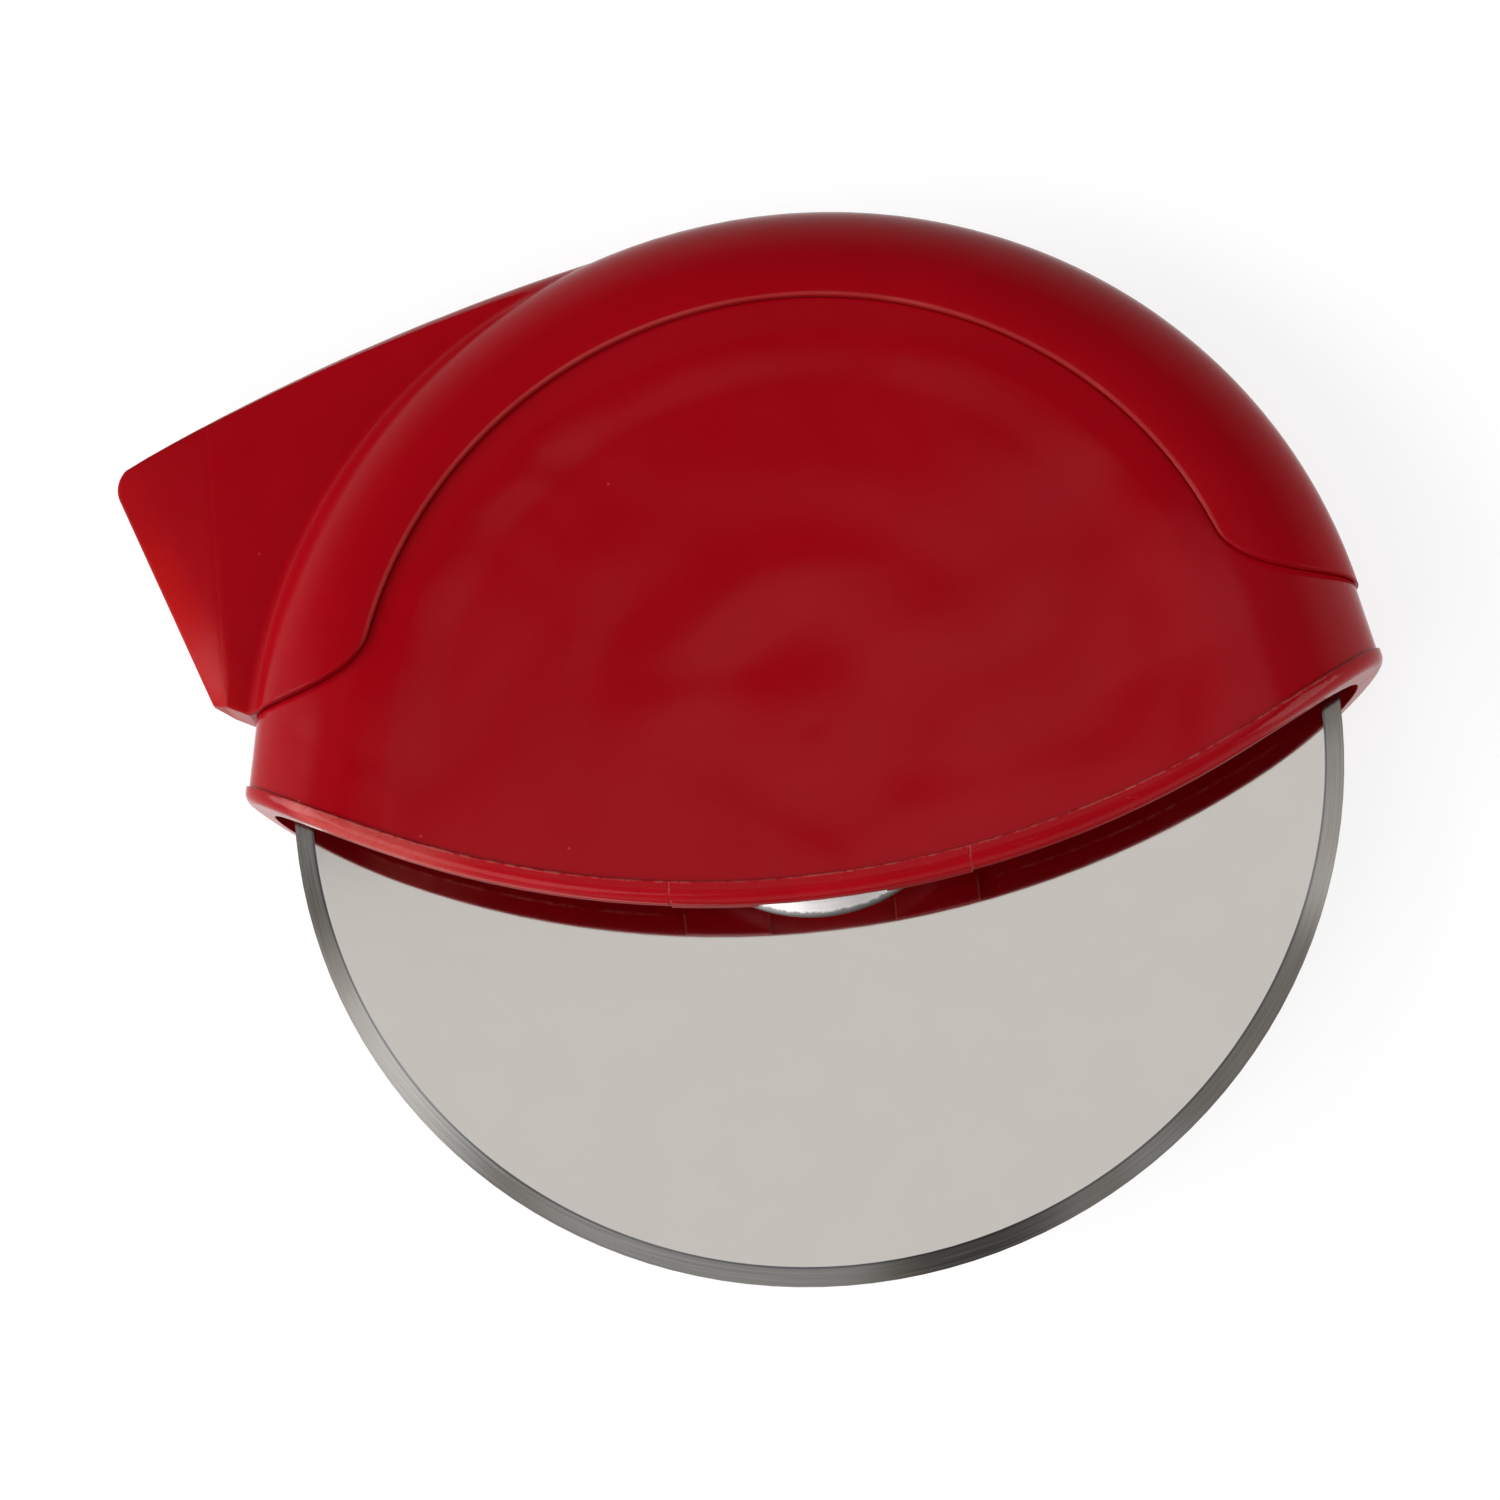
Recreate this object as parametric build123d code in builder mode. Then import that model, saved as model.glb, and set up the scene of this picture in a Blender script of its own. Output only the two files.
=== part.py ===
from build123d import *
import os
from math import asin, cos, degrees, radians, sin, sqrt

# Palm-held rotary cutter: a steel wheel that runs between two moulded shells,
# clamped along the top by a rounded grip cap with a thumb fin.
# It lies on its back. X runs along the mouth, Y from the mouth to the grip, Z up
# through the wheel's axis. The origin is on the wheel's axis, on the face it rests on.

os.makedirs("parts", exist_ok=True)

# Wheel
blade_radius = 50.0
blade_thickness = 1.0
bevel_width = 1.8
edge_thickness = 0.12

# Hub: two plates with rolled edges, riveted to the blade round a plain bush
hub_plate_radius = 15.0
hub_plate_roll = 3.4
hub_plate_rim = 0.4
hub_plate_thickness = 1.5
bush_radius = 4.5
bush_stand = 0.5
rivet_count = 3
rivet_shank_radius = 1.0
rivet_head_radius = 1.7
rivet_head_height = 0.4
rivet_head_taper_angle = 35.0

# Axle and its washers
axle_radius = 2.5
axle_end_chamfer = 0.3
washer_radius = 6.0
washer_thickness = 0.6
washer_edge_chamfer = 0.15

# Housing outline, seen along the wheel's axis
blade_room = 0.9
side_wall = 3.1
housing_centre_y = 1.4
skirt_start_y = 11.2
rim_corner_y = 2.6
rim_bottom_y = -14.9

# Housing section; the share is the handle length of a quarter round
housing_half = 8.3
panel_roll_run = 15.0
seam_run = 11.2
panel_wall = 1.5
step_wall = 2.4
land_wall = 1.4
round_handle_share = 0.5523

# Grip cap
cap_wall = 2.0
cap_end_drop = 0.3
seam_leave_angle = 20.0
seam_handle = 3.4
seam_level_run = 2.7
land_lead = 0.8
cap_bead_radius = 0.4
cap_bead_place_share = 0.4
cap_bead_start_angle = 32.0

# Thumb fin, part of the grip cap: its straight edge runs from the tip to the heel.
# A reach is how far a place lies outside the housing's round outline
fin_tip_angle = 151.5
fin_tip_reach = 20.64
fin_heel_reach = 3.0
fin_heel_rise = 2.0
fin_foot_sink = 0.8
fin_back_middle_angle = 131.9
fin_back_middle_reach = 6.93
fin_back_end_angle = 98.6
fin_back_end_sink = 0.3
fin_back_run = 4.0
fin_back_half = 4.0
fin_root_x = -6.0
fin_root_half = 3.7
fin_crease_reach = 1.4
fin_crease_half = 2.3
fin_edge_half = 0.45
fin_tip_corner = 2.6
fin_heel_corner = 3.2
fin_valley_round = 1.65

# Rolled lip of the mouth, which stands proud of the panel
lip_height = 2.0
lip_end_height = 1.45
lip_stand = 0.3
lip_round = 1.25
guide_pad_outer_x = 14.1
guide_pad_inner_x = 6.0
guide_pad_depth = 3.0
guide_pad_thickness = 2.4

# Hub boss inside each shell
boss_radius = 6.5
socket_floor = 1.0
gusset_count = 6
gusset_radius = 12.5
gusset_thickness = 1.2
gusset_height = 1.8

# Locating pins beside the mouth
locating_pin_radius = 0.7
locating_pin_length = 2.2

# Clearances, and the overrun of every cut
running_clearance = 0.05
press_clearance = 0.02
axial_play = 0.1
seat_clearance = 0.06
seam_clearance = 0.06
pin_clearance = 0.08
overrun = 5.0

# Derived sizes and places of the wheel and its axle
mid_height = housing_half
mid_plane = Plane.XY.offset(mid_height)
blade_half = blade_thickness / 2
bush_half = blade_half + hub_plate_thickness + bush_stand
rivet_circle_radius = (bush_radius + hub_plate_radius - hub_plate_roll) / 2
washer_face = bush_half + axial_play
boss_face = washer_face + washer_thickness
socket_depth = housing_half - socket_floor
axle_half = socket_depth - axial_play

# Derived sizes and places of the housing
cavity_radius = blade_radius + blade_room
housing_radius = cavity_radius + side_wall
panel_half = housing_half - lip_stand
panel_flat_radius = housing_radius - panel_roll_run
seam_radius = housing_radius - seam_run
seam_level_x = seam_radius + seam_level_run
land_radius = housing_radius - cap_wall
land_half = housing_half - cap_wall
land_flat_radius = seam_radius - land_lead
skirt_angle = degrees(asin((skirt_start_y - housing_centre_y) / housing_radius))
skirt_length = housing_centre_y - rim_bottom_y + overrun
cap_end_y = skirt_start_y - cap_end_drop
side_x = housing_radius + overrun
locating_pin_x = (cavity_radius + housing_radius) / 2
locating_pin_y = (cap_end_y + rim_corner_y) / 2
housing_axis = Axis((0, housing_centre_y, 0), (0, 0, 1))


def from_housing(angle, reach):
    """Point outside the housing's round outline, seen along the wheel's axis."""
    radius = housing_radius + reach
    return (radius * cos(radians(angle)), housing_centre_y + radius * sin(radians(angle)))


# Derived places of the thumb fin
fin_tip = from_housing(fin_tip_angle, fin_tip_reach)
fin_back_middle = from_housing(fin_back_middle_angle, fin_back_middle_reach)
fin_back_end = from_housing(fin_back_end_angle, -fin_back_end_sink)
fin_heel = (-housing_radius - fin_heel_reach, cap_end_y + fin_heel_rise)
fin_foot_x = fin_foot_sink - housing_radius
fin_crease_x = -housing_radius - fin_crease_reach
fin_edge_slope = (fin_tip[0] - fin_heel[0]) / (fin_tip[1] - fin_heel[1])


def side_plane(angle):
    """Upright plane through the housing's centre line, its x axis pointing out at the angle."""
    out = (cos(radians(angle)), sin(radians(angle)), 0)
    normal = (sin(radians(angle)), -cos(radians(angle)), 0)
    return Plane(origin=(0, housing_centre_y, mid_height), x_dir=out, z_dir=normal)


def rolled_section(start, radius, half, flat):
    """Section of the housing at its end: two flat faces that roll over to the rounded edge."""
    reach = round_handle_share * (radius - flat)
    rise = round_handle_share * half
    with BuildSketch(side_plane(skirt_angle)) as section:
        with BuildLine():
            Line((start, -half), (start, half))
            Line((start, half), (flat, half))
            Bezier((flat, half), (flat + reach, half), (radius, rise), (radius, 0))
            Bezier((radius, 0), (radius, -rise), (flat + reach, -half), (flat, -half))
            Line((flat, -half), (start, -half))
        make_face()
    return section.sketch


def housing_form(radius, half, flat):
    """Pill-shaped solid whose two ends run straight down below the grip cap."""
    with BuildPart() as form:
        revolve(rolled_section(0, radius, half, flat), axis=housing_axis, revolution_arc=90 - skirt_angle)
        extrude(rolled_section(-overrun, radius, half, flat), amount=skirt_length)
        split(bisect_by=Plane.YZ, keep=Keep.TOP)
        mirror(about=Plane.YZ)
    return form.part


def bare_field(inset):
    """Upright block over what the grip cap leaves bare: inside the arch, and below the cap's ends."""
    radius = seam_radius - inset
    level_y = cap_end_y - inset
    base_y = rim_bottom_y - 2 * overrun
    angle = radians(seam_leave_angle)
    leave = (radius * cos(angle), housing_centre_y + radius * sin(angle))
    dip = (leave[0] + seam_handle * sin(angle), leave[1] - seam_handle * cos(angle))
    with BuildPart() as block:
        with BuildSketch(mid_plane):
            with BuildLine():
                CenterArc((0, housing_centre_y), radius, seam_leave_angle, 90 - seam_leave_angle)
                Bezier(leave, dip, (seam_level_x, level_y), (housing_radius, level_y))
                Polyline((housing_radius, level_y), (side_x, level_y), (side_x, base_y), (0, base_y))
                mirror(about=Plane.YZ)
            make_face()
        extrude(amount=housing_half + overrun, both=True)
    return block.part


def mouth_radius(lift, end_lift):
    """Radius of the arc that lies above the mouth's rim by one lift in the middle, another at its ends."""
    rise = (rim_corner_y + end_lift) - (rim_bottom_y + lift)
    return (housing_radius ** 2 + rise ** 2) / (2 * rise)


def mouth_drum(lift, end_lift):
    """Upright drum whose lower side is an arc of the mouth."""
    radius = mouth_radius(lift, end_lift)
    with BuildPart() as drum:
        with BuildSketch(mid_plane):
            with Locations((0, rim_bottom_y + lift + radius)):
                Circle(radius)
        extrude(amount=housing_half + overrun, both=True)
    return drum.part


def bead_ring(tube_radius):
    """Ring beads that snap the cap to its seat, on both faces of the housing."""
    radius = seam_radius + cap_bead_place_share * (land_radius - seam_radius)
    height = land_half * sqrt(1 - cap_bead_place_share ** 2)
    with BuildPart() as ring:
        with BuildSketch(side_plane(cap_bead_start_angle)):
            with Locations((radius, height), (radius, -height)):
                Circle(tube_radius)
        revolve(axis=housing_axis, revolution_arc=180 - 2 * cap_bead_start_angle)
    return ring.part


def hollow():
    """The space inside the shells: deep behind the panels, shallower under the grip cap."""
    with BuildPart() as space:
        add(housing_form(cavity_radius, panel_half - panel_wall, panel_flat_radius))
        add(bare_field(step_wall), mode=Mode.INTERSECT)
        add(housing_form(land_radius - land_wall, land_half - land_wall, seam_radius - land_wall))
    return space.part


def guide_pads():
    """Pads that thicken the lips on both sides of the hub notch."""
    radius = mouth_radius(0, 0)
    with BuildPart() as pads:
        with BuildSketch(mid_plane):
            with Locations((0, rim_bottom_y + radius)):
                Circle(radius)
                Circle(radius - guide_pad_depth, mode=Mode.SUBTRACT)
            with Locations((0, rim_bottom_y)):
                Rectangle(2 * guide_pad_outer_x, radius, mode=Mode.INTERSECT)
                Rectangle(2 * guide_pad_inner_x, radius, mode=Mode.SUBTRACT)
        extrude(amount=housing_half - lip_round, both=True)
        with BuildSketch(mid_plane):
            Rectangle(2 * side_x, 2 * side_x)
        extrude(amount=housing_half - guide_pad_thickness, both=True, mode=Mode.SUBTRACT)
    return pads.part


def hub_boss(side):
    """Boss that holds one end of the axle, with its gussets; side is 1 in front and -1 behind."""
    inner_face = panel_half - panel_wall
    with BuildPart() as boss:
        with BuildSketch(mid_plane.offset(side * boss_face)):
            Circle(boss_radius)
        extrude(amount=side * (inner_face + seat_clearance - boss_face))
        with BuildSketch(mid_plane.offset(side * (inner_face - gusset_height))):
            with PolarLocations((axle_radius + gusset_radius) / 2, gusset_count):
                Rectangle(gusset_radius - axle_radius, gusset_thickness)
        extrude(amount=side * (gusset_height + seat_clearance))
    return boss.part


def rolled_lip():
    """The shells' lips in one piece, rounded over to the mouth."""
    with BuildPart() as lip:
        add(housing_form(housing_radius, housing_half, panel_flat_radius))
        add(mouth_drum(0, 0), mode=Mode.INTERSECT)
        rim_faces = lip.faces().filter_by(GeomType.CYLINDER).filter_by(lambda face: face.center().Y < 0)
        fillet(rim_faces.edges(), lip_round)
        add(mouth_drum(lip_height, lip_end_height), mode=Mode.SUBTRACT)
    return lip.part


def housing_shell(side):
    """One moulded shell, bare of the locating pins; side is 1 in front and -1 behind."""
    with BuildPart() as shell:
        add(housing_form(housing_radius - lip_stand, panel_half, panel_flat_radius))
        add(bare_field(seam_clearance), mode=Mode.INTERSECT)
        add(mouth_drum(lip_height - seat_clearance, lip_end_height - seat_clearance), mode=Mode.INTERSECT)
        add(rolled_lip())
        add(housing_form(land_radius, land_half, land_flat_radius))
        add(bead_ring(cap_bead_radius + seat_clearance), mode=Mode.SUBTRACT)
        add(mouth_drum(0, 0), mode=Mode.INTERSECT)
        add(hollow(), mode=Mode.SUBTRACT)
        add(guide_pads())
        add(hub_boss(side))
        split(bisect_by=mid_plane, keep=Keep.TOP if side > 0 else Keep.BOTTOM)
        with BuildSketch(mid_plane):
            Circle(axle_radius + press_clearance)
        extrude(amount=side * socket_depth, mode=Mode.SUBTRACT)
    return shell.part


def locating_pins(radius, length):
    """Pair of pins that reach behind the parting face, one beside each end of the mouth."""
    with BuildPart() as pins:
        with BuildSketch(mid_plane):
            with Locations((-locating_pin_x, locating_pin_y), (locating_pin_x, locating_pin_y)):
                Circle(radius)
        extrude(amount=-length)
    return pins.part


def fin_section(y):
    """Section of the thumb fin across its straight edge, its crease and its root."""
    edge_x = fin_tip[0] + fin_edge_slope * (y - fin_tip[1])
    half_outline = [(edge_x, fin_edge_half), (fin_crease_x, fin_crease_half), (fin_root_x, fin_root_half)]
    with BuildSketch(Plane(origin=(0, y, mid_height), x_dir=(1, 0, 0), z_dir=(0, -1, 0))) as section:
        with BuildLine():
            Polyline(*half_outline, *[(x, -z) for x, z in reversed(half_outline)], close=True)
        make_face()
    return section.sketch


def fin_back_roll(back):
    """Ring whose outer side rolls the fin's two faces over to its curved back."""
    centre = back.arc_center
    radius = back.radius
    start = radius - housing_radius
    flat = radius - fin_back_run
    reach = round_handle_share * fin_back_run
    rise = round_handle_share * fin_back_half
    with BuildPart() as ring:
        with BuildSketch(Plane(origin=(centre.X, centre.Y, mid_height), x_dir=(0, 1, 0), z_dir=(1, 0, 0))):
            with BuildLine():
                Line((start, -fin_back_half), (start, fin_back_half))
                Line((start, fin_back_half), (flat, fin_back_half))
                Bezier((flat, fin_back_half), (flat + reach, fin_back_half), (radius, rise), (radius, 0))
                Bezier((radius, 0), (radius, -rise), (flat + reach, -fin_back_half), (flat, -fin_back_half))
                Line((flat, -fin_back_half), (start, -fin_back_half))
            make_face()
        revolve(axis=Axis((centre.X, centre.Y, 0), (0, 0, 1)))
    return ring.part


def thumb_fin():
    """Wedge-edged fin that leaves the arch at a tangent."""
    under_slope = (cap_end_y - fin_heel[1]) / (fin_foot_x - fin_heel[0])
    under_y = cap_end_y + under_slope * (-seam_radius - fin_foot_x)
    with BuildPart() as fin:
        with BuildSketch(mid_plane) as outline:
            with BuildLine():
                back = ThreePointArc(fin_back_end, fin_back_middle, fin_tip)
                Polyline(fin_tip, fin_heel, (-seam_radius, under_y))
                Polyline((-seam_radius, under_y), (fin_back_end[0], seam_radius), fin_back_end)
            make_face()
            tip, heel = outline.vertices().sort_by(Axis.X)[:2]
            fillet(tip, fin_tip_corner)
            fillet(heel, fin_heel_corner)
        extrude(amount=housing_half, both=True)
        low_section = fin_section(cap_end_y - overrun)
        high_section = fin_section(fin_back_end[1] + overrun)
        loft([low_section, high_section], ruled=True, mode=Mode.INTERSECT)
        add(fin_back_roll(back), mode=Mode.INTERSECT)
    return fin.part


def in_valley(edge):
    """Whether an edge of the cap lies along the inner corner between its arch and its fin."""
    middle = edge.position_at(0.5)
    reach = (middle - Vector(0, housing_centre_y, middle.Z)).length
    beside_fin = middle.X < fin_back_end[0] and abs(middle.Z - mid_height) < fin_root_half
    return beside_fin and land_radius < reach < housing_radius and edge.length > housing_radius / 2


def hub_plate(side):
    """Steel disc with a rolled edge that lies on one face of the blade; side is 1 in front and -1 behind."""
    base = mid_height + side * blade_half
    rim = mid_height + side * (blade_half + hub_plate_rim)
    face = mid_height + side * (blade_half + hub_plate_thickness)
    flat_radius = hub_plate_radius - hub_plate_roll
    with BuildPart() as plate:
        with BuildSketch(Plane.XZ):
            with BuildLine():
                Line((hub_plate_radius, base), (hub_plate_radius, rim))
                TangentArc((flat_radius, face), (hub_plate_radius, rim), tangent=(1, 0))
                Polyline((flat_radius, face), (0, face), (0, base), (hub_plate_radius, base))
            make_face()
        revolve(axis=Axis.Z)
        with BuildSketch(mid_plane):
            Circle(bush_radius + press_clearance)
            with PolarLocations(rivet_circle_radius, rivet_count):
                Circle(rivet_shank_radius + press_clearance)
        extrude(amount=side * housing_half, mode=Mode.SUBTRACT)
    return plate.part


def washer(side):
    """Plastic washer between the bush and one boss; side is 1 in front and -1 behind."""
    with BuildPart() as ring:
        with BuildSketch(mid_plane.offset(side * washer_face)):
            Circle(washer_radius)
            Circle(axle_radius + running_clearance, mode=Mode.SUBTRACT)
        extrude(amount=side * washer_thickness)
        chamfer(ring.edges().filter_by(GeomType.CIRCLE).group_by(SortBy.RADIUS)[-1], washer_edge_chamfer)
    return ring.part


with BuildPart() as front_shell:
    add(housing_shell(1))
    add(locating_pins(locating_pin_radius, locating_pin_length))
front_shell.part.label = "front_shell"
export_step(front_shell.part, "parts/front_shell.step")

with BuildPart() as back_shell:
    add(housing_shell(-1))
    pin_holes = locating_pins(locating_pin_radius + pin_clearance, locating_pin_length + pin_clearance)
    add(pin_holes, mode=Mode.SUBTRACT)
back_shell.part.label = "back_shell"
export_step(back_shell.part, "parts/back_shell.step")

with BuildPart() as grip_cap:
    add(housing_form(housing_radius, housing_half, seam_radius))
    add(thumb_fin())
    fillet(grip_cap.edges().filter_by(in_valley), fin_valley_round)
    add(bare_field(0), mode=Mode.SUBTRACT)
    seat = housing_form(land_radius + seat_clearance, land_half + seat_clearance, land_flat_radius)
    add(seat, mode=Mode.SUBTRACT)
    add(bead_ring(cap_bead_radius))
grip_cap.part.label = "grip_cap"
export_step(grip_cap.part, "parts/grip_cap.step")

with BuildPart() as cutting_blade:
    with BuildSketch(Plane.XZ):
        with BuildLine():
            Polyline(
                (0, mid_height - blade_half),
                (blade_radius - bevel_width, mid_height - blade_half),
                (blade_radius, mid_height - edge_thickness / 2),
                (blade_radius, mid_height + edge_thickness / 2),
                (blade_radius - bevel_width, mid_height + blade_half),
                (0, mid_height + blade_half),
                close=True,
            )
        make_face()
    revolve(axis=Axis.Z)
    with BuildSketch(mid_plane):
        Circle(bush_radius + press_clearance)
        with PolarLocations(rivet_circle_radius, rivet_count):
            Circle(rivet_shank_radius + press_clearance)
    extrude(amount=blade_thickness, both=True, mode=Mode.SUBTRACT)
cutting_blade.part.label = "cutting_blade"
export_step(cutting_blade.part, "parts/cutting_blade.step")

with BuildPart() as front_hub_plate:
    add(hub_plate(1))
front_hub_plate.part.label = "front_hub_plate"
export_step(front_hub_plate.part, "parts/front_hub_plate.step")

with BuildPart() as back_hub_plate:
    add(hub_plate(-1))
back_hub_plate.part.label = "back_hub_plate"
export_step(back_hub_plate.part, "parts/back_hub_plate.step")

with BuildPart() as hub_bush:
    with BuildSketch(mid_plane):
        Circle(bush_radius)
        Circle(axle_radius + running_clearance, mode=Mode.SUBTRACT)
    extrude(amount=bush_half, both=True)
hub_bush.part.label = "hub_bush"
export_step(hub_bush.part, "parts/hub_bush.step")

with BuildPart() as hub_rivets:
    with BuildSketch(mid_plane):
        with PolarLocations(rivet_circle_radius, rivet_count):
            Circle(rivet_shank_radius)
    extrude(amount=blade_half + hub_plate_thickness, both=True)
    for side in (1, -1):
        with BuildSketch(mid_plane.offset(side * (blade_half + hub_plate_thickness))):
            with PolarLocations(rivet_circle_radius, rivet_count):
                Circle(rivet_head_radius)
        extrude(amount=side * rivet_head_height, taper=rivet_head_taper_angle)
hub_rivets.part.label = "hub_rivets"
export_step(hub_rivets.part, "parts/hub_rivets.step")

with BuildPart() as axle_pin:
    with BuildSketch(mid_plane):
        Circle(axle_radius)
    extrude(amount=axle_half, both=True)
    chamfer(axle_pin.edges().filter_by(GeomType.CIRCLE), axle_end_chamfer)
axle_pin.part.label = "axle_pin"
export_step(axle_pin.part, "parts/axle_pin.step")

with BuildPart() as front_washer:
    add(washer(1))
front_washer.part.label = "front_washer"
export_step(front_washer.part, "parts/front_washer.step")

with BuildPart() as back_washer:
    add(washer(-1))
back_washer.part.label = "back_washer"
export_step(back_washer.part, "parts/back_washer.step")
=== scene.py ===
import math

import bpy
from mathutils import Matrix, Vector

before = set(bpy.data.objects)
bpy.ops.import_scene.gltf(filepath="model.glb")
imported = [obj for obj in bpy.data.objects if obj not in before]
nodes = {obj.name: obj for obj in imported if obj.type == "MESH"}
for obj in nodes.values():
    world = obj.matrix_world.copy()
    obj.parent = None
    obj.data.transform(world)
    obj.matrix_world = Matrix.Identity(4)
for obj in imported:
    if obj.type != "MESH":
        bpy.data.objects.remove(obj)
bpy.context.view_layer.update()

# Places on the object, in metres. A pair of radii or of places is where something
# begins to change and where it has changed.
ARCH_CENTRE = (0.0, 0.0014)
MIDDLE_Z = 0.0083
SEAM_RADIUS = 0.0428
BEVEL_START = 0.0482
PLATE_RIM = 0.0149
FIN_TIP = (-0.0656, 0.0370)
FIN_HEEL = (-0.0570, 0.0129)
FIN_THIN = (0.0, 0.0050)
FIN_THIN_Y = (0.026, 0.034)
CREASE_X = -0.0555
CREASE_FOOT_Y = (0.012, 0.016)
CAP_FEET_Y = (0.012, 0.020)
ROLL_WIDTH = 0.0036
SEAM_HIGHLIGHT_LINE = 0.00018
LIP_CENTRE = (0.0, 0.08159)
LIP_RADIUS = 0.09449
LIP_OUTSIDE_Z = (0.0058, 0.0070)
LIP_HIGHLIGHT_X = (-0.020, 0.030)
LIP_SCUFFED_AND_LIT_X = (-0.042, -0.030)
PAD_START = 0.0060
PAD_EDGE = 0.0141

# Sink marks of the panels: places in metres
RINGS_CENTRE = (0.0008, 0.0015)
RING_START = 0.0115
RING_PITCH = 0.013
RINGS_FADE = (0.006, 0.034)
BRIM_INSIDE = (0.0338, 0.0384)
BRIM_OUTSIDE = (0.0388, 0.0420)
DIP_X = (0.014, 0.034)
DIP_ABOVE_LIP = (0.0, 0.010)
RIGHT_END_X = 0.034

# Heights in millimetres, slopes in millimetres per metre, and END_BEND, by which the
# slope grows past RIGHT_END_X, in millimetres per square metre
MILLIMETRE = 0.001
RING_HEIGHT = 0.040
BRIM_HEIGHT = 0.075
PANEL_SWELL = 0.24
PANEL_SLOPE = 6.0
END_BEND = -4000.0
END_DIP = -0.22
FLASH_HEIGHT = 0.05
WITNESS_DEPTH = -0.04
CAP_ROLL = -0.10
CAP_SWELL = 0.10
WEDGE_SLOPE = -150.0

# Depths of fine texture, and radii that edges are rounded to, in metres
GRAIN_DEPTH = 0.0000035
STREAK_DEPTH = 0.000003
TURNED_DEPTH = 0.000004
SHELL_ROUNDING = 0.0002
CAP_ROUNDING = 0.00045
CREASE_ROUNDING = 0.0014

# Colours of the plastic
RED = (0.36, 0.0012, 0.006, 1.0)
DEEP_RED = (0.325, 0.0008, 0.0048, 1.0)
PAINTED_GLOW_RED = (0.47, 0.0045, 0.0045, 1.0)
PAINTED_HIGHLIGHT_RED = (0.46, 0.002, 0.008, 1.0)
SCUFF_AND_HIGHLIGHT_RED = (0.60, 0.13, 0.11, 1.0)
WASHER_WHITE = (0.72, 0.72, 0.69, 1.0)
WASHER_CREAM = (0.66, 0.66, 0.62, 1.0)

# Colours of the steel
FLAT_PALE = (0.635, 0.60, 0.56, 1.0)
FLAT_DARK = (0.62, 0.585, 0.545, 1.0)
GROUND_PALE = (0.58, 0.56, 0.53, 1.0)
GROUND_DARK = (0.47, 0.45, 0.43, 1.0)
DIRT = (0.36, 0.30, 0.24, 1.0)
TARNISH = (0.30, 0.26, 0.21, 1.0)
BEVEL_REFLECTION_LINE = (0.13, 0.14, 0.17, 1.0)
RIM_SHADOW = (0.16, 0.15, 0.15, 1.0)
PLATE_TONE = (0.88, 0.85, 0.83, 1.0)
PIN_TONE = (0.58, 0.57, 0.56, 1.0)

# How strongly each mark shows in the colour
SPECKS_SHOW = 0.35
LEFT_SCUFFS_AND_HIGHLIGHT_SHOW = (0.36, 0.62)
FEW_SCUFFS_SHOW = 0.22
FIN_TIP_PAINTED_GLOW = 0.45
FLASH_HIGHLIGHT_SHOWS = 0.6
PAD_HIGHLIGHTS_SHOW = 0.6
WITNESS_SHOWS = 0.35
SEAM_HIGHLIGHT_SHOWS = 0.3
DIRT_SHOWS = 0.25
TARNISH_SHOWS = 0.55
REFLECTION_LINE_SHOWS = 0.65
RIM_SHADOW_SHOWS = 0.9

# What each mark adds to the roughness, and how rough the surfaces are without it
SCRATCH_ADDS = 0.10
BRUSH_ADDS = 0.012
RUBBING_ADDS = 0.12
SHELL_ROUGH = (0.11, 0.15)
CAP_ROUGH = (0.20, 0.26)
FLAT_ROUGH = (0.045, 0.065)
GROUND_ROUGH = (0.09, 0.16)
PLATE_ROUGH = (0.42, 0.50)
PIN_ROUGH = (0.22, 0.34)
WASHER_ROUGH = (0.42, 0.55)

# How strongly the plastic reflects
SHELL_LEVEL = 0.14
CAP_LEVEL = 0.075

# The floor
FLOOR_WIDTH = 6.0
FLOOR_Z = -0.0001
WHITE = (1.0, 1.0, 1.0, 1.0)
FLOOR_LIT = (0.86, 0.86, 0.86, 1.0)
FLOOR_SEEN = (0.32, 0.32, 0.32, 1.0)
FLOOR_SHINE = 0.79

# The light from above, by the direction that it comes from
LEAN = -0.25
LEAN_FROM_X = -0.12
PANEL_END = (0.283, 0.312)
PANEL_LOW_Z = (0.80, 0.90)
PANEL_FRONT_Y = (-0.02, 0.08)
PANEL_FRONT_X = (-0.15, 0.15)
PANEL_FRONT_SHARES = (0.42, 0.33)
GAP_LOW_Z = (0.80, 0.88)
GAP_END = (0.38, 0.48)
SPOT = (0.05, -0.26)
SPOT_RADII = (0.06, 0.13)
SPOT_SHARE = 0.1
PATCH = (-0.505, 0.02)
PATCH_RADII = (0.04, 0.22)
PATCH_LOW_Z = (0.6, 0.8)
BACKDROP_Z = (0.10, 0.62)
BACKDROP_TOP = 0.22
PANEL_STRENGTH = 0.83
PATCH_STRENGTH = 1.15
SURROUND_STRENGTH = 0.05

# Soft boxes: name, place in metres, width in metres and power in watts
BOXES = (
    ("left_box", (-0.906, 0.032, 0.423), 0.65, 7.9),
    ("right_box", (0.865, -0.270, 0.423), 0.70, 4.5),
    ("front_box", (-0.542, -0.542, 0.643), 0.60, 3.3),
)

# The photograph's camera, from the fit to the wheel, the arch and the mouth
CAMERA_PLACE = (0.03026193, -0.12692993, 0.46418202)
CAMERA_RIGHT = (0.98975947, -0.09602135, -0.10562238)
CAMERA_BACK = (0.07603898, -0.27155704, 0.95941381)
LENS_MM = 120.0
SENSOR_MM = 36.0


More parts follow.
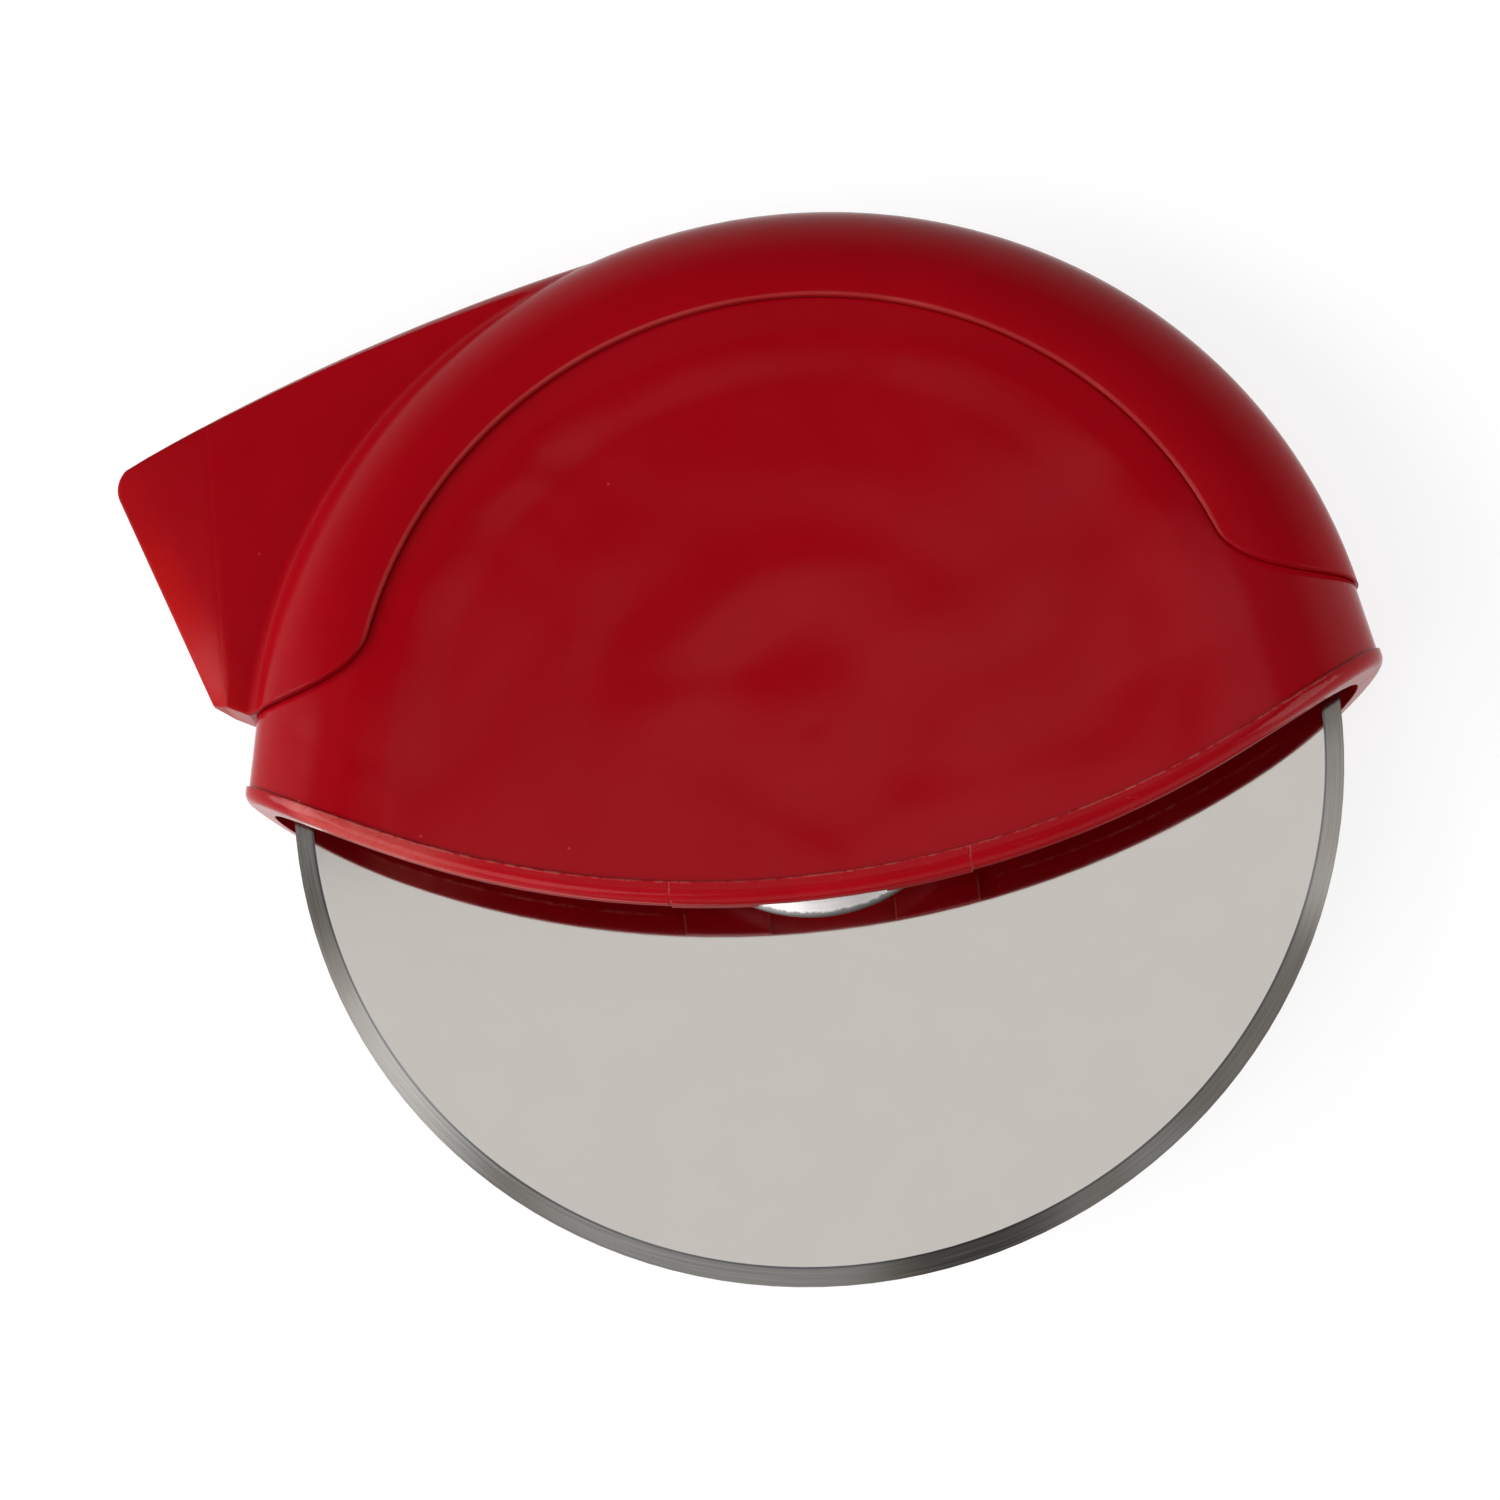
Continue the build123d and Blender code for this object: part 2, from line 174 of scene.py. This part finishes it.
class Graph:
    """A short way to add shader nodes and link them."""

    def __init__(self, tree):
        self.tree = tree
        self.tree.nodes.clear()

    def add(self, kind, inputs=None, **settings):
        made = self.tree.nodes.new(kind)
        for name, value in settings.items():
            setattr(made, name, value)
        for key, value in (inputs or {}).items():
            self.put(made.inputs[key], value)
        return made

    def put(self, socket, value):
        if isinstance(value, bpy.types.NodeSocket):
            self.tree.links.new(value, socket)
        else:
            socket.default_value = value

    def math(self, operation, a, b=0.0, c=0.0):
        made = self.add("ShaderNodeMath", {0: a, 1: b, 2: c}, operation=operation)
        return made.outputs[0]

    def times(self, first, *others):
        for other in others:
            first = self.math("MULTIPLY", first, other)
        return first

    def total(self, first, *others):
        for other in others:
            first = self.math("ADD", first, other)
        return first

    def less(self, a, b):
        return self.math("SUBTRACT", a, b)

    def largest(self, a, b):
        return self.math("MAXIMUM", a, b)

    def size_of(self, value):
        return self.math("ABSOLUTE", value)

    def ramp(self, value, low, high, to_low, to_high, kind="SMOOTHSTEP"):
        """to_low up to low, to_high from high on, and a change of that kind between."""
        made = self.add("ShaderNodeMapRange", {"Value": value}, interpolation_type=kind)
        self.put(made.inputs["From Min"], low)
        self.put(made.inputs["From Max"], high)
        self.put(made.inputs["To Min"], to_low)
        self.put(made.inputs["To Max"], to_high)
        return made.outputs["Result"]

    def rise(self, value, low, high):
        return self.ramp(value, low, high, 0.0, 1.0)

    def fall(self, value, low, high):
        return self.ramp(value, low, high, 1.0, 0.0)

    def spread(self, noise, to_low=0.0, to_high=1.0):
        """Noise, which mostly lies between 0.3 and 0.7, brought to another range."""
        return self.ramp(noise, 0.3, 0.7, to_low, to_high)

    def band(self, value, middle, half, soft):
        """1 within half of middle, and 0 beyond soft more."""
        return self.fall(self.size_of(self.less(value, middle)), half, half + soft)

    def mix(self, share, a, b):
        made = self.add("ShaderNodeMix", data_type="RGBA")
        self.put(made.inputs["Factor"], share)
        self.put(made.inputs[6], a)
        self.put(made.inputs[7], b)
        return made.outputs[2]

    def place(self):
        """The point on the object, in metres, in the frame of its body at rest."""
        return self.add("ShaderNodeTexCoord").outputs["Object"]

    def split(self, vector):
        return self.add("ShaderNodeSeparateXYZ", {0: vector}).outputs

    def join(self, x, y=0.0):
        return self.add("ShaderNodeCombineXYZ", {0: x, 1: y}).outputs[0]

    def stretch(self, vector, scale):
        made = self.add(
            "ShaderNodeVectorMath", {0: vector, 1: scale}, operation="MULTIPLY"
        )
        return made.outputs[0]

    def radius(self, vector, centre=(0.0, 0.0)):
        """Distance from an upright axis through centre."""
        x, y, _ = self.split(vector)
        across = self.less(x, centre[0])
        along = self.less(y, centre[1])
        square = self.total(self.times(across, across), self.times(along, along))
        return self.math("SQRT", square)

    def noise(self, vector, size, detail=2.0, roughness=0.5, distortion=0.0):
        """Noise whose lumps are about size metres across."""
        made = self.add("ShaderNodeTexNoise", {"Vector": vector, "Scale": 1.0 / size})
        self.put(made.inputs["Detail"], detail)
        self.put(made.inputs["Roughness"], roughness)
        self.put(made.inputs["Distortion"], distortion)
        return made.outputs["Fac"]

    def specks(self, vector, size, share):
        """Small round spots, about size metres apart, on a share of the cells."""
        inputs = {"Vector": vector, "Scale": 1.0 / size}
        cells = self.add("ShaderNodeTexVoronoi", inputs, feature="F1").outputs
        lot = self.split(cells["Color"])[0]
        chosen = self.math("GREATER_THAN", lot, 1.0 - share)
        return self.times(chosen, self.fall(cells["Distance"], 0.03, 0.08))

    def bump(self, height, distance, normal=None):
        made = self.add("ShaderNodeBump", {"Height": height, "Distance": distance})
        if normal is not None:
            self.put(made.inputs["Normal"], normal)
        return made.outputs["Normal"]

    def soft_edges(self, radius):
        """Normal with every sharp edge rounded, as a mould leaves it."""
        made = self.add("ShaderNodeBevel", {"Radius": radius}, samples=6)
        return made.outputs["Normal"]

    def surface(self, base, rough, more=None):
        """The main shader. More of its inputs are given by their names."""
        inputs = {"Base Color": base, "Roughness": rough, **(more or {})}
        return self.add("ShaderNodeBsdfPrincipled", inputs)

    def watched(self):
        """Whether the camera sees a thing straight, and whether metal or glass does."""
        path = self.add("ShaderNodeLightPath").outputs
        mirrored = self.largest(path["Is Glossy Ray"], path["Is Transmission Ray"])
        return path["Is Camera Ray"], mirrored

    def finish(self, shader, kind="ShaderNodeOutputMaterial"):
        out = self.add(kind)
        self.tree.links.new(shader.outputs[0], out.inputs["Surface"])


def material(name):
    made = bpy.data.materials.new(name)
    made.use_nodes = True
    return made, Graph(made.node_tree)


def moulded_red(g, at, base, normal, low, high, level):
    """Moulded plastic: cloudy colour, pale specks, fine scratches and fine grain.

    Its roughness goes from low to high in patches, and level is how strongly it
    reflects.
    """
    cloud = g.noise(at, size=0.018, detail=3.0, roughness=0.55, distortion=0.4)
    base = g.mix(g.rise(cloud, 0.35, 0.65), g.mix(0.5, base, DEEP_RED), base)
    fine = g.specks(at, size=0.0023, share=0.04)
    coarse = g.specks(at, size=0.0034, share=0.04)
    base = g.mix(g.times(g.total(fine, coarse), SPECKS_SHOW), base, SCUFF_AND_HIGHLIGHT_RED)

    rough = g.spread(g.noise(at, size=0.005, detail=3.0), low, high)
    hairs = g.noise(at, size=0.008, roughness=0.4, distortion=1.5)
    scratch = g.band(hairs, 0.5, half=0.0, soft=0.0025)
    worn = g.rise(g.noise(at, size=0.011), 0.60, 0.70)
    rough = g.total(rough, g.times(scratch, worn, SCRATCH_ADDS))

    grain = g.bump(g.noise(at, size=0.0004), GRAIN_DEPTH, normal)
    return g.surface(base, rough, {"Normal": grain, "Specular IOR Level": level})


def sink_marks(g, at, above):
    """Height of the panels' slight sink marks and slopes, in millimetres."""
    x, y, _ = g.split(at)
    out = g.radius(at, ARCH_CENTRE)
    hub = g.radius(at, RINGS_CENTRE)
    rings = g.math("SINE", g.times(g.less(hub, RING_START), 2 * math.pi / RING_PITCH))
    brim = g.times(g.rise(out, *BRIM_INSIDE), g.fall(out, *BRIM_OUTSIDE))
    swell = g.noise(at, size=0.021, detail=1.0, roughness=0.4, distortion=0.8)
    past = g.largest(g.less(x, RIGHT_END_X), 0.0)
    dip = g.times(g.rise(x, *DIP_X), g.rise(above, *DIP_ABOVE_LIP))
    return g.total(
        g.times(rings, g.fall(hub, *RINGS_FADE), RING_HEIGHT),
        g.times(brim, BRIM_HEIGHT),
        g.times(swell, PANEL_SWELL),
        g.times(y, PANEL_SLOPE),
        g.times(past, past, END_BEND),
        g.times(dip, END_DIP),
    )


def shell_plastic(name):
    """The two shells: panels with sink marks, and a scuffed lip with a flash line, with
    painted highlights on its left end, its flash and its pads.
    """
    made, g = material(name)
    at = g.place()
    x, _, z = g.split(at)
    off = g.size_of(x)

    # The lip on the outside and on the inside, the flash with a painted highlight, and
    # the pads' witness lines
    above = g.less(LIP_RADIUS, g.radius(at, LIP_CENTRE))
    outer = g.rise(g.size_of(g.less(z, MIDDLE_Z)), *LIP_OUTSIDE_Z)
    rolled = g.fall(above, -0.0001, 0.0001)
    lip = g.times(rolled, outer)
    inner = g.less(rolled, lip)
    ragged = g.rise(g.noise(at, size=0.0011, detail=3.0, roughness=0.7), 0.38, 0.62)
    flash_and_highlight = g.times(g.band(above, -0.00002, half=0.00010, soft=0.00008), ragged, outer)
    witness = g.times(g.band(off, PAD_EDGE, half=0.00004, soft=0.00008), lip)

    height = g.total(
        sink_marks(g, at, above),
        g.times(flash_and_highlight, FLASH_HEIGHT),
        g.times(witness, WITNESS_DEPTH),
    )
    normal = g.bump(height, MILLIMETRE, g.soft_edges(SHELL_ROUNDING))

    # Scuffs along the lip, most of them at its left end, where the pale patches are
    # partly a painted highlight
    streaks = g.stretch(at, (1.0, 2.0, 2.0))
    pale = g.noise(streaks, size=0.0016, detail=5.0, roughness=0.75, distortion=1.2)
    # Partly scuffs and partly a painted highlight: dense pale patches at the lip's left
    # end
    left_scuffs_and_highlight = g.ramp(pale, 0.35, 0.70, *LEFT_SCUFFS_AND_HIGHLIGHT_SHOW)
    left_scuffs_and_highlight = g.times(g.fall(x, *LIP_SCUFFED_AND_LIT_X), left_scuffs_and_highlight)
    few = g.times(g.rise(pale, 0.58, 0.72), FEW_SCUFFS_SHOW)
    # Painted highlight: the lip is lighter towards its left end, where the light falls
    # on it
    base = g.mix(g.times(lip, g.fall(x, *LIP_HIGHLIGHT_X)), RED, PAINTED_HIGHLIGHT_RED)
    base = g.mix(g.times(g.largest(left_scuffs_and_highlight, few), lip), base, SCUFF_AND_HIGHLIGHT_RED)
    # Painted highlight: the flash line is pale where its edge catches the light
    base = g.mix(g.times(flash_and_highlight, FLASH_HIGHLIGHT_SHOWS), base, SCUFF_AND_HIGHLIGHT_RED)

    # The pads inside the lip, lighter as a painted highlight, and painted highlights on
    # the steps at their ends
    pad_middle = (PAD_EDGE + PAD_START) / 2
    pad_half = (PAD_EDGE - PAD_START) / 2
    pad_highlight = g.band(off, pad_middle, pad_half, soft=0.00005)
    step_highlights = g.largest(
        g.band(off, PAD_EDGE, half=0.00005, soft=0.0001),
        g.band(off, PAD_START, half=0.00005, soft=0.0001),
    )
    # Painted highlights: the pads' flat faces are lighter, and the steps at their ends
    # are pale lines
    base = g.mix(g.times(inner, pad_highlight, PAD_HIGHLIGHTS_SHOW), base, PAINTED_HIGHLIGHT_RED)
    base = g.mix(g.times(inner, step_highlights, PAD_HIGHLIGHTS_SHOW), base, SCUFF_AND_HIGHLIGHT_RED)
    base = g.mix(g.times(witness, WITNESS_SHOWS), base, DEEP_RED)
    g.finish(moulded_red(g, at, base, normal, *SHELL_ROUGH, SHELL_LEVEL))
    return made


def cap_plastic(name):
    """The grip cap, rolled down to its seam, with a painted glow where the fin gets
    thin and a painted highlight along its seam.
    """
    made, g = material(name)
    at = g.place()
    x, y, _ = g.split(at)
    out = g.radius(at, ARCH_CENTRE)
    arched = g.rise(y, *CAP_FEET_Y)

    roll_end = SEAM_RADIUS + ROLL_WIDTH
    inward = g.ramp(out, SEAM_RADIUS, roll_end, 1.0, 0.0, kind="LINEAR")
    swell = g.noise(at, size=0.014, detail=1.0, roughness=0.4, distortion=0.5)
    height = g.total(
        g.times(inward, inward, arched, CAP_ROLL),
        g.times(swell, CAP_SWELL),
        g.times(g.math("MINIMUM", x, CREASE_X), WEDGE_SLOPE),
    )
    crease = g.band(x, CREASE_X, half=0.0012, soft=0.0025)
    crease = g.times(crease, g.rise(y, *CREASE_FOOT_Y))
    rounding = g.math("MULTIPLY_ADD", crease, CREASE_ROUNDING, CAP_ROUNDING)
    normal = g.bump(height, MILLIMETRE, g.soft_edges(rounding))

    # Depth behind the fin's straight edge, which runs from its tip to its heel
    run = (FIN_TIP[0] - FIN_HEEL[0]) / (FIN_TIP[1] - FIN_HEEL[1])
    edge_x = g.math("MULTIPLY_ADD", g.less(y, FIN_TIP[1]), run, FIN_TIP[0])
    depth = g.less(x, edge_x)
    # Painted glow: the thin fin is orange-red as if light shone through it, weaker
    # towards the tip
    painted_glow = g.ramp(y, *FIN_THIN_Y, 1.0, FIN_TIP_PAINTED_GLOW)
    base = g.mix(g.times(g.fall(depth, *FIN_THIN), painted_glow), RED, PAINTED_GLOW_RED)
    # Painted highlight: a pale line along the cap's edge at the seam, on the arch
    seam_highlight = g.band(out, SEAM_RADIUS + SEAM_HIGHLIGHT_LINE, half=0.00010, soft=0.00015)
    base = g.mix(g.times(seam_highlight, arched, SEAM_HIGHLIGHT_SHOWS), base, SCUFF_AND_HIGHLIGHT_RED)

    # The wedge is rubbed, so it is less smooth
    rubbed = g.times(g.fall(x, CREASE_X - 0.001, CREASE_X + 0.001), RUBBING_ADDS)
    low, high = (g.total(rubbed, rough) for rough in CAP_ROUGH)
    g.finish(moulded_red(g, at, base, normal, low, high, CAP_LEVEL))
    return made


def blade_steel(name):
    """Mirror-polished disc with a ground bevel round its edge."""
    made, g = material(name)
    at = g.place()
    x, y, _ = g.split(at)
    reach = g.radius(at)
    bevel = g.rise(reach, BEVEL_START - 0.00005, BEVEL_START + 0.00003)

    # The flat: faint haze and brush marks, and a few spots of dirt
    haze = g.noise(at, size=0.007, detail=4.0, roughness=0.6)
    brushed = g.stretch(at, (1.0, 9.0, 1.0))
    brush = g.noise(brushed, size=0.0011, detail=4.0, roughness=0.7)
    polish = g.spread(haze, *FLAT_ROUGH)
    polish = g.total(polish, g.times(g.rise(brush, 0.35, 0.65), BRUSH_ADDS))
    flat_tone = g.mix(g.rise(haze, 0.35, 0.65), FLAT_DARK, FLAT_PALE)
    dirt = g.specks(at, size=0.0048, share=0.10)
    flat_tone = g.mix(g.times(dirt, DIRT_SHOWS), flat_tone, DIRT)

    # The bevel: long grinding streaks round the wheel, and brown tarnish
    wound = g.join(g.times(g.math("ARCTAN2", y, x), 0.0007), reach)
    streaks = g.noise(wound, size=0.00022, detail=3.0, roughness=0.6)
    ground = g.spread(streaks, *GROUND_ROUGH)
    ground_tone = g.mix(g.rise(streaks, 0.32, 0.68), GROUND_DARK, GROUND_PALE)
    tarnish = g.rise(g.noise(at, size=0.022), 0.45, 0.62)
    ground_tone = g.mix(g.times(tarnish, TARNISH_SHOWS), ground_tone, TARNISH)

    flat = g.less(1.0, bevel)
    rough = g.total(g.times(bevel, ground), g.times(flat, polish))
    base = g.mix(bevel, flat_tone, ground_tone)
    # Painted reflection: a dark bluish line along the crease where the flat meets the
    # bevel
    reflection_line = g.band(reach, BEVEL_START + 0.00008, half=0.00005, soft=0.00010)
    base = g.mix(g.times(reflection_line, REFLECTION_LINE_SHOWS), base, BEVEL_REFLECTION_LINE)
    normal = g.bump(g.times(streaks, bevel), STREAK_DEPTH)
    g.finish(g.surface(base, rough, {"Normal": normal, "Metallic": 1.0}))
    return made


def plain_steel(name, tone, low, high, rim=None):
    """Turned or pressed steel with fine rings, and from rim on a painted dark contact
    shadow with its reflection.
    """
    made, g = material(name)
    at = g.place()
    reach = g.radius(at)
    rings = g.noise(g.join(reach), size=0.00025, detail=3.0, roughness=0.6)
    darker = tuple(0.93 * part for part in tone[:3]) + (1.0,)
    base = g.mix(g.spread(rings), tone, darker)
    if rim is not None:
        # Painted shadow: dark from rim on, with a ragged edge, for the contact shadow
        # and its reflection
        wander = g.noise(at, size=0.0006, detail=3.0, roughness=0.7)
        ragged = g.math("MULTIPLY_ADD", wander, 0.0006, reach)
        rim_shadow = g.times(g.rise(ragged, rim, rim + 0.0003), RIM_SHADOW_SHOWS)
        base = g.mix(rim_shadow, base, RIM_SHADOW)
    rough = g.spread(g.noise(at, size=0.004, detail=3.0), low, high)
    normal = g.bump(rings, TURNED_DEPTH)
    g.finish(g.surface(base, rough, {"Normal": normal, "Metallic": 1.0}))
    return made


def pale_plastic(name):
    """Natural white plastic of the washers."""
    made, g = material(name)
    at = g.place()
    base = g.mix(g.noise(at, size=0.002, detail=3.0), WASHER_CREAM, WASHER_WHITE)
    rough = g.spread(g.noise(at, size=0.0008, detail=3.0), *WASHER_ROUGH)
    g.finish(g.surface(base, rough))
    return made


shell_red = shell_plastic("shell_red")
cap_red = cap_plastic("cap_red")
blade_finish = blade_steel("blade_steel")
plate_finish = plain_steel("plate_steel", PLATE_TONE, *PLATE_ROUGH, rim=PLATE_RIM)
pin_finish = plain_steel("pin_steel", PIN_TONE, *PIN_ROUGH)
washer_finish = pale_plastic("washer_plastic")

finishes = {
    "front_shell": shell_red,
    "back_shell": shell_red,
    "grip_cap": cap_red,
    "cutting_blade": blade_finish,
    "front_hub_plate": plate_finish,
    "back_hub_plate": plate_finish,
    "hub_bush": pin_finish,
    "hub_rivets": plate_finish,
    "axle_pin": pin_finish,
    "front_washer": washer_finish,
    "back_washer": washer_finish,
}
for name, finish in finishes.items():
    nodes[name].data.materials.clear()
    nodes[name].data.materials.append(finish)


def pale_floor():
    """Plain white table top that keeps the object's soft shadow."""
    bpy.ops.mesh.primitive_plane_add(size=FLOOR_WIDTH, location=(0.0, 0.0, FLOOR_Z))
    floor = bpy.context.object
    floor.name = "floor"
    made, g = material("floor_white")
    straight, mirrored = g.watched()
    seen = g.largest(straight, mirrored)
    plain = g.add("ShaderNodeBsdfDiffuse", {"Color": FLOOR_LIT}).outputs[0]
    dimmer = g.add("ShaderNodeBsdfDiffuse", {"Color": FLOOR_SEEN}).outputs[0]
    shine = g.add("ShaderNodeEmission", {"Color": WHITE, "Strength": FLOOR_SHINE})
    lifted = g.add("ShaderNodeAddShader", {0: dimmer, 1: shine.outputs[0]}).outputs[0]
    g.finish(g.add("ShaderNodeMixShader", {0: seen, 1: plain, 2: lifted}))
    floor.data.materials.append(made)


def soft_world():
    """Dim surround with a bright panel above, and white to the camera and in metal."""
    world = bpy.data.worlds.new("studio")
    bpy.context.scene.world = world
    world.use_nodes = True
    g = Graph(world.node_tree)
    place = g.add("ShaderNodeTexCoord").outputs["Generated"]
    x, y, z = g.split(place)

    # The panel ends at a leaning line, and is dimmer in front, with a dark spot
    across = g.math("MULTIPLY_ADD", g.largest(x, LEAN_FROM_X), LEAN, y)
    spot = g.ramp(g.radius(place, SPOT), *SPOT_RADII, SPOT_SHARE, 1.0)
    in_front = g.times(g.ramp(x, *PANEL_FRONT_X, *PANEL_FRONT_SHARES), spot)
    share = g.largest(g.rise(y, *PANEL_FRONT_Y), in_front)
    panel = g.times(g.fall(across, *PANEL_END), g.rise(z, *PANEL_LOW_Z), share)

    # A second bright patch, on the left
    patch = g.ramp(g.radius(place, PATCH), *PATCH_RADII, PATCH_STRENGTH, 0.0)
    bright = g.largest(panel, g.times(patch, g.rise(z, *PATCH_LOW_Z)))
    strength = g.math("MULTIPLY_ADD", bright, PANEL_STRENGTH, SURROUND_STRENGTH)

    # The backdrop, which fades upwards and leaves a dark gap behind the panel
    straight, mirrored = g.watched()
    aside = g.largest(g.fall(z, *GAP_LOW_Z), g.rise(across, *GAP_END))
    backdrop = g.times(mirrored, aside, g.ramp(z, *BACKDROP_Z, 1.0, BACKDROP_TOP))
    strength = g.largest(strength, g.largest(backdrop, straight))
    sky = g.add("ShaderNodeBackground", {"Color": WHITE, "Strength": strength})
    g.finish(sky, "ShaderNodeOutputWorld")


def add_object(name, data):
    held = bpy.data.objects.new(name, data)
    bpy.context.scene.collection.objects.link(held)
    return held


def soft_box(name, place, width, power):
    """Square soft light, aimed at the object."""
    lamp = bpy.data.lights.new(name, "AREA")
    lamp.shape = "SQUARE"
    lamp.size = width
    lamp.energy = power
    held = add_object(name, lamp)
    held.location = place
    held.rotation_euler = (-Vector(place)).to_track_quat("-Z", "Y").to_euler()


def photo_camera():
    lens = bpy.data.cameras.new("camera")
    lens.lens = LENS_MM
    lens.sensor_width = SENSOR_MM
    lens.clip_start = 0.01
    lens.clip_end = 20.0
    right = Vector(CAMERA_RIGHT).normalized()
    back = Vector(CAMERA_BACK).normalized()
    turn = Matrix((right, back.cross(right), back)).transposed().to_4x4()
    held = add_object("camera", lens)
    held.matrix_world = Matrix.Translation(CAMERA_PLACE) @ turn
    bpy.context.scene.camera = held


pale_floor()
soft_world()
for box in BOXES:
    soft_box(*box)
photo_camera()
bpy.context.scene.view_settings.view_transform = "Standard"
